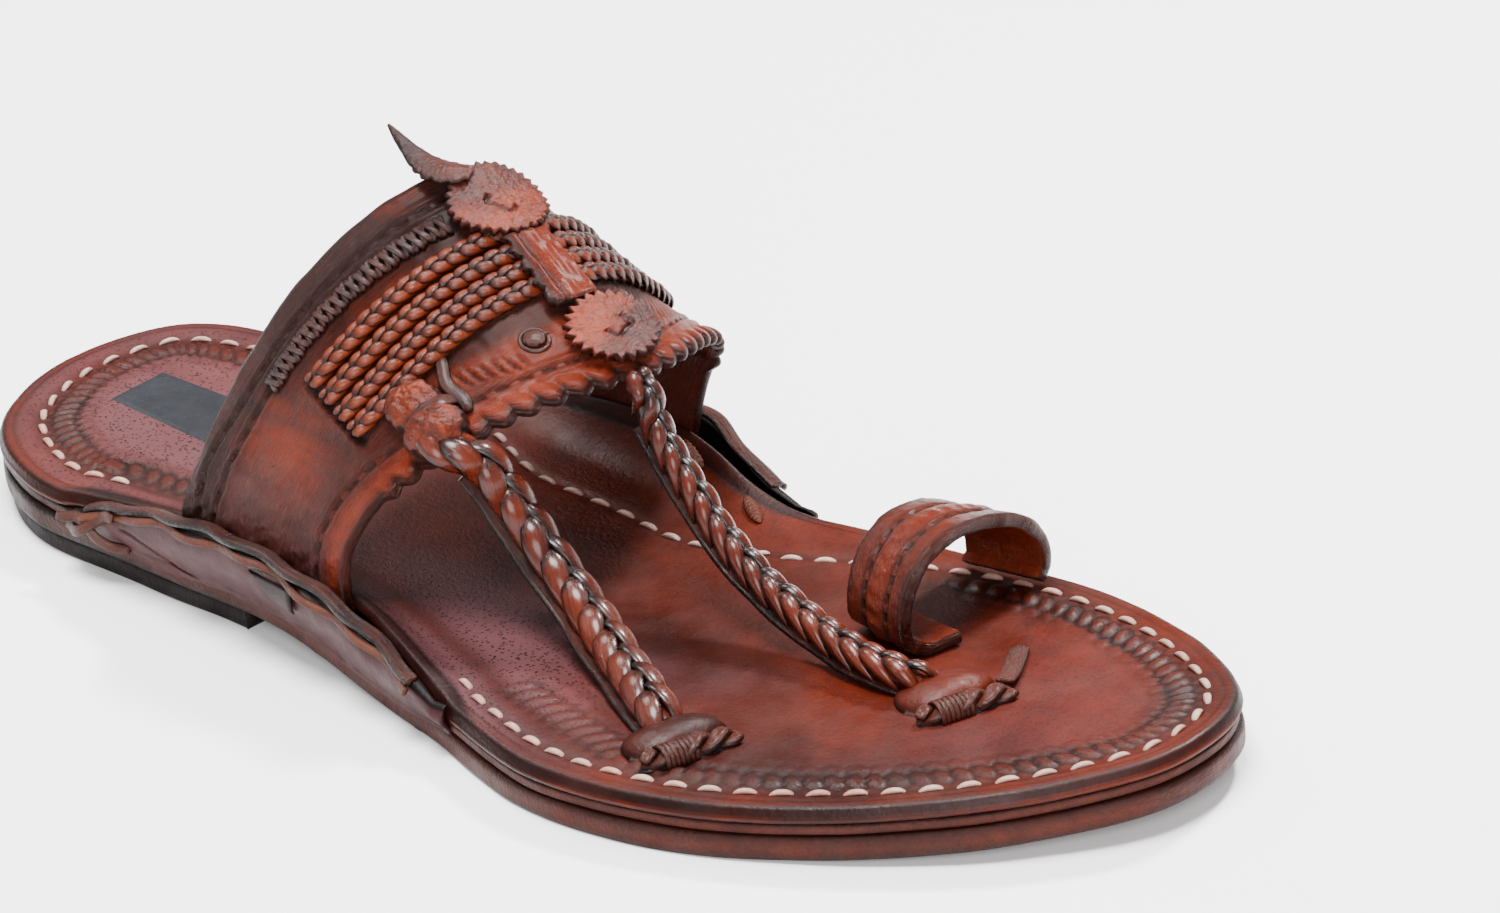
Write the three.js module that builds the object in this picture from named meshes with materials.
// Kolhapuri sandal, right shoe: a leather sandwich sole, ears at the waist, an arched instep band with
// plaits and rosettes, a toe loop and two long braids.
// Millimetres, +Z up, toe towards -Y, outer (lateral) side towards -X.
// Every place is written as { along, out, up }: from the back of the heel, towards the outer side, upwards.
import * as THREE from 'three';

// ------------------------------------------------------------------ driving sizes
const LENGTH = 288;
const GAP = 0.3;                     // between pieces that lie on each other
const OUTSOLE = 4.6;
const MIDSOLE = 2.2;
const INSOLE = 3.0;
const HEEL_LIFT = 4.3;               // height of the outsole's underside over the heel
const HEEL_BREAST = 98;              // where the heel block ends
const TREAD_START = 150;             // the outsole is flat on the ground from here
const TREAD_END = 215;               // to here
const TOE_SPRING = 5;
const BAND_WALL = 2.2;
const EAR_WALL = 2.2;
const STACK = OUTSOLE + GAP + MIDSOLE + GAP + INSOLE;
const INSOLE_UNDER = OUTSOLE + GAP + MIDSOLE + GAP;

// Sole outline, walked once round from the back of the heel by the outer side.
const OUTLINE = [
  { along: 0, out: 0 }, { along: 10, out: 26 }, { along: 33, out: 40 }, { along: 68, out: 42 },
  { along: 110, out: 43 }, { along: 155, out: 50.5 }, { along: 192, out: 59.5 }, { along: 221, out: 55 },
  { along: 249, out: 41 }, { along: 272.5, out: 22 }, { along: 288, out: -2 }, { along: 284, out: -25 },
  { along: 263, out: -40.5 }, { along: 235, out: -48 }, { along: 202, out: -45.5 }, { along: 159, out: -39 },
  { along: 111, out: -33 }, { along: 67, out: -32 }, { along: 31, out: -33 }, { along: 7, out: -24 },
];

// Turned-up edge of the insole at the waist: how far out it reaches and how high its rim is.
const INSOLE_EAR = {
  lateral: [
    { along: 46, out: 41, up: 14.7 }, { along: 53, out: 40, up: 15 }, { along: 61, out: 39.4, up: 15.8 },
    { along: 72, out: 38.8, up: 17 },
    { along: 84, out: 38.7, up: 18.2 }, { along: 97, out: 39.5, up: 19.2 },
    { along: 110, out: 40.5, up: 19.2 },
    { along: 122, out: 41.1, up: 18.4 }, { along: 133, out: 42.1, up: 16.8 },
    { along: 145, out: 45.2, up: 14.2 },
    { along: 157, out: 49.3, up: 11.6 }, { along: 168, out: 54, up: 10.1 },
  ],
  medial: [
    { along: 50, out: -32.2, up: 14.7 }, { along: 64, out: -32.4, up: 15.4 }, { along: 76, out: -34, up: 17 },
    { along: 88, out: -36.6, up: 19.2 }, { along: 100, out: -38, up: 20.6 },
    { along: 114, out: -39, up: 21.4 },
    { along: 126, out: -39.8, up: 21.5 }, { along: 136, out: -40.3, up: 20.6 },
    { along: 144, out: -39.7, up: 18 },
    { along: 153, out: -38.8, up: 14.6 }, { along: 162, out: -39.3, up: 11.6 },
    { along: 170, out: -40.8, up: 10.1 },
  ],
};
const CURL_WIDTH = 13;               // width of the insole's margin that turns up
const EAR_BULGE = { lateral: 1.6, medial: 3 };

// Outer ear leathers: reach and height of the rim along the waist.
const OUTER_EAR = {
  lateral: [
    { along: 52, out: 43.6, up: 12.6 }, { along: 61, out: 43.3, up: 15.8 },
    { along: 72, out: 43.8, up: 18.2 },
    { along: 84, out: 44.9, up: 20.4 }, { along: 97, out: 46, up: 21.9 }, { along: 110, out: 46.8, up: 21.6 },
    { along: 122, out: 47.6, up: 20.2 }, { along: 133, out: 48.6, up: 18.2 },
    { along: 145, out: 50.4, up: 15.4 },
    { along: 154, out: 52.4, up: 12.8 }, { along: 162, out: 54.8, up: 10.4 },
  ],
  medial: [
    { along: 54, out: -35.6, up: 12.4 }, { along: 64, out: -36.2, up: 14.6 },
    { along: 76, out: -39.4, up: 16.6 },
    { along: 88, out: -43.2, up: 18.6 }, { along: 100, out: -44.9, up: 19.8 },
    { along: 114, out: -45.9, up: 20.4 },
    { along: 126, out: -46.6, up: 20.2 }, { along: 136, out: -46.8, up: 19 },
    { along: 145, out: -45, up: 15.8 },
    { along: 154, out: -42.8, up: 12.6 }, { along: 162, out: -42.8, up: 10 },
  ],
};

// Instep band, outer face: its rear and front edges from the outer foot over the crown to the inner foot.
const BAND = [
  { row: 'outer foot', rear: [83, 41.6, 15.4], front: [130, 44.3, 14] },
  { row: 'outer ear rim', rear: [83.5, 41.8, 21], front: [130.5, 44.9, 19] },
  { row: 'outer side', rear: [85.5, 39.6, 28.5], front: [130.5, 44.4, 25] },
  { row: 'outer side', rear: [88.5, 35.2, 38.5], front: [131.5, 41.5, 30.5] },
  { row: 'outer shoulder', rear: [92, 29.8, 48.5], front: [134, 37.2, 36] },
  { row: 'outer shoulder', rear: [96.5, 22.8, 59], front: [138, 31.5, 41] },
  { row: 'outer shoulder', rear: [101.5, 14, 68.3], front: [144, 22.5, 46.3] },
  { row: 'crown', rear: [107, 4, 75.2], front: [151, 12, 50.3] },
  { row: 'crown', rear: [111.5, -7, 78.6], front: [158, 1.5, 52.7] },
  { row: 'crown', rear: [111.5, -18, 76.3], front: [161, -9.5, 52.6] },
  { row: 'inner shoulder', rear: [108, -28.5, 69], front: [158, -20.5, 50.8] },
  { row: 'inner shoulder', rear: [103, -35.8, 58.5], front: [152, -31, 47.2] },
  { row: 'inner side', rear: [98, -40.4, 47], front: [146, -40, 42] },
  { row: 'inner side', rear: [94, -42, 36], front: [140, -45, 34.5] },
  { row: 'inner ear rim', rear: [91, -41.4, 25], front: [136.5, -44.6, 25.5] },
  { row: 'inner foot', rear: [90, -39.8, 16.6], front: [135, -43.2, 17] },
];

// Things that lie on the band are placed by (row, across): row counts down the table above, and across runs
// from 0 at the rear edge to 1 at the front edge.
const PLAITS = [
  { name: 'plait_1', atEnds: 0.38, atSpine: 0.33 },
  { name: 'plait_2', atEnds: 0.49, atSpine: 0.42 },
  { name: 'plait_3', atEnds: 0.60, atSpine: 0.50 },
  { name: 'plait_4', atEnds: 0.70, atSpine: 0.58 },
];
const PLAIT = { width: 4, height: 1.6, from: 4.7, to: 12.2 };
const SPINE = { row: 8.4, width: 8.5, height: 1.3, from: 0.41, to: 0.665 };
const ROSETTE = { teeth: 20, tooth: 1.2, height: 1.6 };
const REAR_ROSETTE = { row: 8.42, across: 0.21, radius: 10.2 };
const FRONT_ROSETTE = { row: 8.62, across: 0.855, radius: 9.4 };
const HORN = [
  { along: 111.8, out: -3.2, up: 78.6, width: 6.6 },
  { along: 109, out: -3.8, up: 79.8, width: 6.8 },
  { along: 106, out: -4.2, up: 81.4, width: 5.6 },
  { along: 103, out: -4.6, up: 83.2, width: 3.4 },
  { along: 100.5, out: -4.9, up: 85.2, width: 1 },
];
const HORN_WALL = 1.6;

// Toe loop, outer face: its rear and front edges, from the foot turned in under the toe to the inner foot.
const LOOP_WALL = 2.6;
const LOOP = [
  { row: 'foot tip', rear: [208, -18.5, 10.8], front: [225, -17, 10.8] },
  { row: 'outer foot', rear: [207, -13, 10.8], front: [223.5, -10, 10.8] },
  { row: 'outer bend', rear: [206, -9.2, 13.6], front: [222, -5.8, 13.6] },
  { row: 'outer side', rear: [206, -9.2, 20.3], front: [222, -5.3, 20.3] },
  { row: 'outer shoulder', rear: [206, -12.8, 26.4], front: [222, -8.4, 26.4] },
  { row: 'top', rear: [206, -18.8, 29.8], front: [222, -14.4, 30.4] },
  { row: 'top', rear: [206, -26, 29.8], front: [222, -22.5, 31.5] },
  { row: 'inner shoulder', rear: [206, -33.5, 27.4], front: [222, -31.8, 29.6] },
  { row: 'inner side', rear: [206, -39.4, 22.8], front: [222, -39.8, 25.8] },
  { row: 'inner side', rear: [206, -42.4, 17], front: [222, -44.6, 19.6] },
  { row: 'inner bend', rear: [206, -42.4, 13.2], front: [222, -45, 13.4] },
  { row: 'inner foot', rear: [206, -40.6, 11], front: [222, -43, 11] },
];

// Long braids: centre lines from the band's front edge to their anchors.
const BRAIDS = {
  lateral: {
    width: 9, height: 4.4,
    start: { row: 5.62, across: [0.99, 1.04], height: 3.3 },
    line: [
      [148.8, 24.2, 42.6], [152, 22, 36.9], [155.5, 20.8, 31.4], [160.6, 21, 26.2], [166.5, 21.6, 22],
      [174, 23.6, 18.1], [184, 27.8, 15.5], [192, 31.5, 14.8], [198.6, 34.6, 14.8],
    ],
  },
  medial: {
    width: 6, height: 5,
    start: { row: 8.5, across: [1.07, 1.1], height: -1 },
    line: [
      [165.5, -3.2, 44.5], [169, -2.9, 39.6], [173.6, -2.4, 35.2], [181, -1.3, 28.8], [189, 0, 23.9],
      [197.4, 0.8, 20.2], [206.5, 1.7, 17.4], [217, 2.5, 15.4], [228, 3.6, 15.4],
    ],
  },
};
const STRIP = { width: 7, height: 1.3, shift: 1.5 };

const ANCHORS = {
  lateral: { along: 211.4, out: 37.5, length: 22, width: 17, height: 4.2, turn: 0.35 },
  medial: { along: 240, out: -3.5, length: 21, width: 16, height: 4.2, turn: -0.75 },
};
const KNOB = { row: 5.68, across: 0.865, length: 6, width: 5, height: 4.4 };

// ------------------------------------------------------------------ colours
const leather = (color, roughness) => new THREE.MeshStandardMaterial({ color, roughness, metalness: 0 });
const INSOLE_BROWN = leather(0x6e2f22, 0.5);
const EDGE_BROWN = leather(0x4a2622, 0.6);
const HEEL_BROWN = leather(0x34201f, 0.65);
const MAUVE_BROWN = leather(0x6b4446, 0.6);
const BAND_TAN = leather(0x8c3a1a, 0.45);
const PLAIT_TAN = leather(0x9a4a2a, 0.4);
const BRAID_BROWN = leather(0x7a3020, 0.35);
const DISC_BROWN = leather(0x7a4038, 0.5);

// ------------------------------------------------------------------ small helpers
const sandal = new THREE.Group();

const place = (along, out, up) => new THREE.Vector3(-out, -along, up);

const smooth = (from, to, x) => {
  const k = Math.min(1, Math.max(0, (x - from) / (to - from)));
  return k * k * (3 - 2 * k);
};

const steps = (from, to, count) => (
  Array.from({ length: count + 1 }, (_, i) => from + (to - from) * i / count)
);

/** Steps that crowd towards both ends, for an outline that closes round. */
const roundSteps = (from, to, count) =>
  steps(0, Math.PI, count).map((angle) => from + (to - from) * (1 - Math.cos(angle)) / 2);

/** Smooth reading of a named column in a table whose rows go up in `along`. */
function read(table, column, along) {
  const last = table.length - 1;
  let i = 0;
  while (i < last - 1 && table[i + 1].along < along) i += 1;
  const [a, b] = [table[i], table[i + 1]];
  const slope = (j) => {
    const [p, q] = [table[Math.max(j - 1, 0)], table[Math.min(j + 1, last)]];
    return (q[column] - p[column]) / (q.along - p.along);
  };
  const span = b.along - a.along;
  const t = Math.min(1, Math.max(0, (along - a.along) / span));
  const [t2, t3] = [t * t, t * t * t];
  return (2 * t3 - 3 * t2 + 1) * a[column] + (t3 - 2 * t2 + t) * span * slope(i)
    + (3 * t2 - 2 * t3) * b[column] + (t3 - t2) * span * slope(i + 1);
}

/** Closed solid from rings of equal count; the end caps are zipped across each end ring. */
function loft(rings) {
  const count = rings[0].length;
  const points = rings.flat();
  const faces = [];
  const quad = (a, b, c, d) => faces.push(a, b, c, a, c, d);
  for (let r = 0; r < rings.length - 1; r += 1) {
    for (let i = 0; i < count; i += 1) {
      const j = (i + 1) % count;
      quad(r * count + i, r * count + j, (r + 1) * count + j, (r + 1) * count + i);
    }
  }
  const end = (rings.length - 1) * count;
  for (let i = 0; i < count / 2 - 1; i += 1) {
    quad(i, count - 1 - i, count - 2 - i, i + 1);
    quad(end + i, end + i + 1, end + count - 2 - i, end + count - 1 - i);
  }
  return outwards(points, faces);
}

/** Geometry whose faces point out, whichever way its rings were walked. */
function outwards(points, faces) {
  const geometry = new THREE.BufferGeometry().setFromPoints(points);
  let volume = 0;
  const cross = new THREE.Vector3();
  for (let f = 0; f < faces.length; f += 3) {
    const [a, b, c] = [points[faces[f]], points[faces[f + 1]], points[faces[f + 2]]];
    volume += a.dot(cross.crossVectors(b, c));
  }
  geometry.setIndex(volume > 0 ? faces : faces.reverse());
  return geometry;
}

function add(name, geometry, material) {
  const mesh = new THREE.Mesh(geometry, material);
  mesh.name = name;
  sandal.add(mesh);
}

// ------------------------------------------------------------------ sole
const outlineLoop = new THREE.CatmullRomCurve3(
  OUTLINE.map(({ along, out }) => new THREE.Vector3(along, out, 0)), true, 'centripetal',
).getSpacedPoints(720);

/** Outer and inner edge of the sole at a distance along it. */
function soleEdges(along) {
  const crossings = [];
  for (let i = 0; i < outlineLoop.length - 1; i += 1) {
    const [a, b] = [outlineLoop[i], outlineLoop[i + 1]];
    if ((a.x - along) * (b.x - along) <= 0 && a.x !== b.x) {
      crossings.push(a.y + (b.y - a.y) * (along - a.x) / (b.x - a.x));
    }
  }
  return { lateral: Math.max(...crossings), medial: Math.min(...crossings) };
}

/** Height of the outsole's underside over the ground. */
function underside(along) {
  const spring = Math.max(0, (along - TREAD_END) / (LENGTH - TREAD_END));
  return HEEL_LIFT * (1 - smooth(HEEL_BREAST, TREAD_START, along)) + TOE_SPRING * spring * spring;
}

const insoleTop = (along) => underside(along) + STACK;

/** A sole leather: sections across the shoe, each a flat ribbon with softened edges. */
function soleLayer({ from, to, sections, columns, edges, bottom, top, soften = 0.8 }) {
  return loft(roundSteps(from, to, sections).map((along) => {
    const { lateral, medial } = edges(along);
    const across = steps(0, 1, columns);
    const outAt = (k) => lateral + (medial - lateral) * k;
    const trim = Math.min(soften, (lateral - medial) / 4);
    const inset = (out) => Math.min(lateral - trim, Math.max(medial + trim, out));
    const topRow = across.map((k) => place(along, inset(outAt(k)), top(along, outAt(k))));
    const bottomRow = across.map((k) => place(along, outAt(k), bottom(along, outAt(k)))).reverse();
    const sideOut = [lateral, medial].map((out) => place(along, out, top(along, out) - soften));
    return [sideOut[0], ...topRow, sideOut[1], ...bottomRow];
  }));
}

const insetEdges = (inset) => (along) => {
  const { lateral, medial } = soleEdges(along);
  const room = Math.min(inset, (lateral - medial) / 3);
  return { lateral: lateral - room, medial: medial + room };
};

/** The midsole draws in at the waist to leave room for the feet of the outer ears. */
function midsoleEdges(along) {
  const { lateral, medial } = soleEdges(along);
  const waist = smooth(36, 47, along) * (1 - smooth(167, 178, along));
  const inset = 0.4 + (EAR_WALL + 0.4) * waist;
  return insetEdges(inset)(along);
}

const inEar = (table, along) => along > table[0].along && along < table[table.length - 1].along;

/** The insole follows the sole's outline, and at the waist the turned-up ears. */
function insoleEdges(along) {
  const edges = insetEdges(0.3)(along);
  for (const side of ['lateral', 'medial']) {
    const table = INSOLE_EAR[side];
    if (inEar(table, along)) edges[side] = read(table, 'out', along);
  }
  return edges;
}

/** Extra height of the insole towards an ear's rim. */
function earCurl(along, out) {
  const side = out > 0 ? 'lateral' : 'medial';
  const table = INSOLE_EAR[side];
  if (!inEar(table, along)) return 0;
  const rim = Math.abs(read(table, 'out', along));
  const reach = Math.max(0, (Math.abs(out) - rim + CURL_WIDTH) / CURL_WIDTH);
  return Math.max(0, read(table, 'up', along) - insoleTop(along)) * reach * reach;
}

function makeSole() {
  const range = { from: 0.5, to: LENGTH - 0.5 };
  add('outsole', soleLayer({
    ...range, sections: 32, columns: 4, edges: insetEdges(0),
    bottom: (along) => underside(along), top: (along) => underside(along) + OUTSOLE,
  }), EDGE_BROWN);
  add('midsole', soleLayer({
    ...range, from: 0.9, to: LENGTH - 0.9, sections: 30, columns: 4, edges: midsoleEdges,
    bottom: (along) => underside(along) + OUTSOLE + GAP,
    top: (along) => underside(along) + OUTSOLE + GAP + MIDSOLE,
  }), EDGE_BROWN);
  add('insole', soleLayer({
    ...range, from: 0.8, to: LENGTH - 0.8, sections: 44, columns: 12, edges: insoleEdges, soften: 1,
    bottom: (along, out) => underside(along) + INSOLE_UNDER + earCurl(along, out),
    top: (along, out) => insoleTop(along) + earCurl(along, out),
  }), INSOLE_BROWN);
  add('heel_block', soleLayer({
    from: 1.6, to: HEEL_BREAST, sections: 18, columns: 4, edges: insetEdges(1.2),
    bottom: () => 0, top: () => HEEL_LIFT - GAP, soften: 0.6,
  }), HEEL_BROWN);
}

/** Outer ear: a leather wall that stands on the outsole's edge and leans out to its rim. */
function outerEar(side) {
  const table = OUTER_EAR[side];
  const sign = side === 'lateral' ? 1 : -1;
  const rings = steps(table[0].along, table[table.length - 1].along, 22).map((along) => {
    const foot = { out: soleEdges(along)[side] - sign * 0.2, up: underside(along) + OUTSOLE + GAP };
    const rim = { out: read(table, 'out', along), up: read(table, 'up', along) };
    const outer = steps(0, 1, 4).map((k) => {
      const bulge = sign * EAR_BULGE[side] * Math.sin(Math.PI * k);
      return { out: foot.out + (rim.out - foot.out) * k + bulge, up: foot.up + (rim.up - foot.up) * k };
    });
    const inner = outer.map(({ out, up }) => ({ out: out - sign * EAR_WALL, up })).reverse();
    return [...outer, ...inner].map(({ out, up }) => place(along, out, up));
  });
  return loft(rings);
}

// ------------------------------------------------------------------ instep band and what lies on it
/** A strap's outer face, ruled between its rear and front edge: places on it are (row, across, height). */
function strapFace(table) {
  const edge = (name) => new THREE.CatmullRomCurve3(table.map((section) => place(...section[name])));
  const [rear, front] = [edge('rear'), edge('front')];
  const last = table.length - 1;
  const on = (row, across) => {
    const t = Math.min(1, Math.max(0, row / last));
    return rear.getPoint(t).lerp(front.getPoint(t), across);
  };
  /** Outward normal, and the size of one row and one across. */
  const frame = (row, across) => {
    const h = 0.05;
    const inside = Math.min(last - 2 * h, Math.max(2 * h, row));
    const alongRow = on(inside + h, across).sub(on(inside - h, across)).divideScalar(2 * h);
    const overWidth = on(inside, across + h).sub(on(inside, across - h)).divideScalar(2 * h);
    const normal = new THREE.Vector3().crossVectors(overWidth, alongRow).normalize();
    return { normal, rowSize: alongRow.length(), acrossSize: overWidth.length() };
  };
  const over = (row, across, height) => on(row, across).addScaledVector(frame(row, across).normal, height);
  return { last, frame, over };
}

/** The strap itself: its outer face and, a wall's thickness inside it, its inner face. */
function strap({ last, over }, wall, { rows, columns }) {
  const across = steps(0, 1, columns);
  return loft(steps(0, last, rows).map((row) => [
    ...across.map((k) => over(row, k, 0)),
    ...across.map((k) => over(row, k, -wall)).reverse(),
  ]));
}

const band = strapFace(BAND);
const overBand = band.over;
const bandFrame = band.frame;

/** How far across the band a plait runs: it draws in towards the crown. */
const plaitAcross = ({ atEnds, atSpine }, row) => {
  const half = (PLAIT.to - PLAIT.from) / 2;
  const away = Math.abs(row - (PLAIT.from + half)) / half;
  return atSpine + (atEnds - atSpine) * smooth(0.1, 1, away);
};

function makeBand() {
  add('instep_band', strap(band, BAND_WALL, { rows: 60, columns: 5 }), BAND_TAN);

  for (const plait of PLAITS) {
    add(plait.name, loft(steps(PLAIT.from, PLAIT.to, 30).map((row) => {
      const middle = plaitAcross(plait, row);
      const half = PLAIT.width / 2 / bandFrame(row, middle).acrossSize;
      const corner = (side, height) => overBand(row, middle + side * half, GAP + height);
      return [
        corner(-1, 0), corner(-1, PLAIT.height * 0.6), corner(-0.4, PLAIT.height),
        corner(0.4, PLAIT.height), corner(1, PLAIT.height * 0.6), corner(1, 0),
      ];
    })), PLAIT_TAN);
  }

  const overPlaits = 2 * GAP + PLAIT.height;
  add('spine_strap', loft(steps(SPINE.from, SPINE.to, 12).map((k) => {
    const half = SPINE.width / 2 / bandFrame(SPINE.row, k).rowSize;
    const face = (height) => steps(-1, 1, 4).map(
      (side) => overBand(SPINE.row + side * half, k, overPlaits + height),
    );
    return [...face(0), ...face(SPINE.height).reverse()];
  })), BAND_TAN);

  add('rosette_rear', rosette(REAR_ROSETTE, overPlaits), DISC_BROWN);
  add('rosette_front', rosette(FRONT_ROSETTE, overPlaits), DISC_BROWN);
  add('horn_tab', hornTab(), DISC_BROWN);
  const onKnob = (x, y, height) => onPatch(KNOB, x, y, GAP + height);
  add('knob_lateral', dome(onKnob, KNOB.length, KNOB.width, KNOB.height), BRAID_BROWN);
}

/** Point at (x, y) millimetres from a place on the band: x over the arch, y towards the front edge. */
function onPatch({ row, across }, x, y, height) {
  const { rowSize, acrossSize } = bandFrame(row, across);
  return overBand(row + x / rowSize, across + y / acrossSize, height);
}

/** Serrated leather disc that lies along the band's curve. */
function rosette(spot, height) {
  const sides = ROSETTE.teeth * 2;
  const rim = (i) => {
    const radius = spot.radius - (i % 2) * ROSETTE.tooth;
    const angle = Math.PI * i / ROSETTE.teeth;
    return [radius * Math.cos(angle), radius * Math.sin(angle)];
  };
  return disc(sides, [0.5], rim, (x, y, side) => onPatch(spot, x, y, height + side * ROSETTE.height));
}

/** Flat-faced disc: two faces of rings round a centre, joined at the rim. Side 0 is the under face. */
function disc(sides, innerRings, rim, point) {
  const points = [];
  const faces = [];
  const fractions = [...innerRings, 1];
  for (const side of [1, 0]) {
    points.push(point(0, 0, side));
    for (const fraction of fractions) {
      for (let i = 0; i < sides; i += 1) {
        const [x, y] = rim(i);
        points.push(point(x * fraction, y * fraction, side));
      }
    }
  }
  const half = 1 + fractions.length * sides;
  const at = (side, ring, i) => (side ? 0 : half) + 1 + ring * sides + (i % sides);
  for (let i = 0; i < sides; i += 1) {
    faces.push(0, at(1, 0, i), at(1, 0, i + 1));
    faces.push(half, at(0, 0, i + 1), at(0, 0, i));
    for (let ring = 0; ring < fractions.length - 1; ring += 1) {
      for (const side of [1, 0]) {
        const next = ring + 1;
        const face = [at(side, ring, i), at(side, next, i), at(side, next, i + 1), at(side, ring, i + 1)];
        if (!side) face.reverse();
        faces.push(face[0], face[1], face[2], face[0], face[2], face[3]);
      }
    }
    const outer = fractions.length - 1;
    const wall = [at(1, outer, i), at(0, outer, i), at(0, outer, i + 1), at(1, outer, i + 1)];
    faces.push(wall[0], wall[1], wall[2], wall[0], wall[2], wall[3]);
  }
  return outwards(points, faces);
}

/** Oval cushion: flat below, rounded above. */
function dome(point, halfLength, halfWidth, height) {
  const rim = (i) => [halfLength * Math.cos(Math.PI * i / 10), halfWidth * Math.sin(Math.PI * i / 10)];
  const rise = (x, y) => Math.sqrt(Math.max(0.12, 1 - (x / halfLength) ** 2 - (y / halfWidth) ** 2));
  return disc(20, [0.4, 0.75], rim, (x, y, side) => point(x, y, side * height * rise(x, y)));
}

/** Pointed tab that runs back from the rear rosette, past the band's edge. */
function hornTab() {
  const sections = HORN.map(
    ({ along, out, up, width }) => ({ centre: place(along, out, up), half: width / 2 }),
  );
  return loft(sections.map(({ centre, half }) => {
    const corner = (side, height) => centre.clone().add(new THREE.Vector3(side * half, 0, height));
    return [corner(-1, 0), corner(-1, HORN_WALL), corner(1, HORN_WALL), corner(1, 0)];
  }));
}

// ------------------------------------------------------------------ toe loop, braids and anchors
/** Strap or braid swept along a line: the section is given in (side, lift) about each point. */
function sweep(line, count, section, sideways) {
  const curve = new THREE.CatmullRomCurve3(line);
  return loft(steps(0, 1, count).map((t) => {
    const centre = curve.getPoint(t);
    const forward = curve.getTangent(t);
    const side = sideways.clone().addScaledVector(forward, -sideways.dot(forward)).normalize();
    const lift = new THREE.Vector3().crossVectors(side, forward);
    return section.map(([a, b]) => centre.clone().addScaledVector(side, a).addScaledVector(lift, b));
  }));
}

const flatSection = (width, height, [side, lift] = [0, 0]) => {
  const [a, b] = [width / 2, height / 2];
  return [[-a, -b], [a, -b], [a, b], [-a, b]].map(([x, y]) => [x + side, y + lift]);
};

const ovalSection = (width, height) => steps(0, 2 * Math.PI, 8).slice(0, 8).map((angle) => {
  const turn = angle + Math.PI / 8;
  return [width / 2 * Math.cos(turn), height / 2 * Math.sin(turn)];
});

function makeLoop() {
  add('toe_loop', strap(strapFace(LOOP), LOOP_WALL, { rows: 44, columns: 2 }), BAND_TAN);
}

function makeBraids() {
  const across = new THREE.Vector3(-1, 0, 0);
  for (const [side, { width, height, start, line }] of Object.entries(BRAIDS)) {
    const root = start.across.map((k) => overBand(start.row, k, start.height));
    const free = line.map((point) => place(...point));
    add(`braid_${side}`, sweep([...root, ...free], 32, ovalSection(width, height), across), BRAID_BROWN);
    const below = [STRIP.shift, -(height / 2 + GAP + STRIP.height / 2)];
    const section = flatSection(Math.min(width, STRIP.width), STRIP.height, below);
    add(`strip_${side}`, sweep(free, 24, section, across), BAND_TAN);
  }
}

function makeAnchors() {
  for (const [side, { along, out, length, width, height, turn }] of Object.entries(ANCHORS)) {
    const point = (x, y, up) => {
      const [c, s] = [Math.cos(turn), Math.sin(turn)];
      const spot = { along: along + x * c - y * s, out: out + x * s + y * c };
      return place(spot.along, spot.out, insoleTop(spot.along) + GAP + up);
    };
    add(`anchor_${side}`, dome(point, length / 2, width / 2, height), DISC_BROWN);
  }
}

makeSole();
add('ear_outer_lateral', outerEar('lateral'), MAUVE_BROWN);
add('ear_outer_medial', outerEar('medial'), MAUVE_BROWN);
makeBand();
makeLoop();
makeBraids();
makeAnchors();

// The origin is under the middle of the shoe, on the ground.
const middle = new THREE.Box3().setFromObject(sandal).getCenter(new THREE.Vector3());
sandal.position.set(-middle.x, -middle.y, 0);

export default sandal;
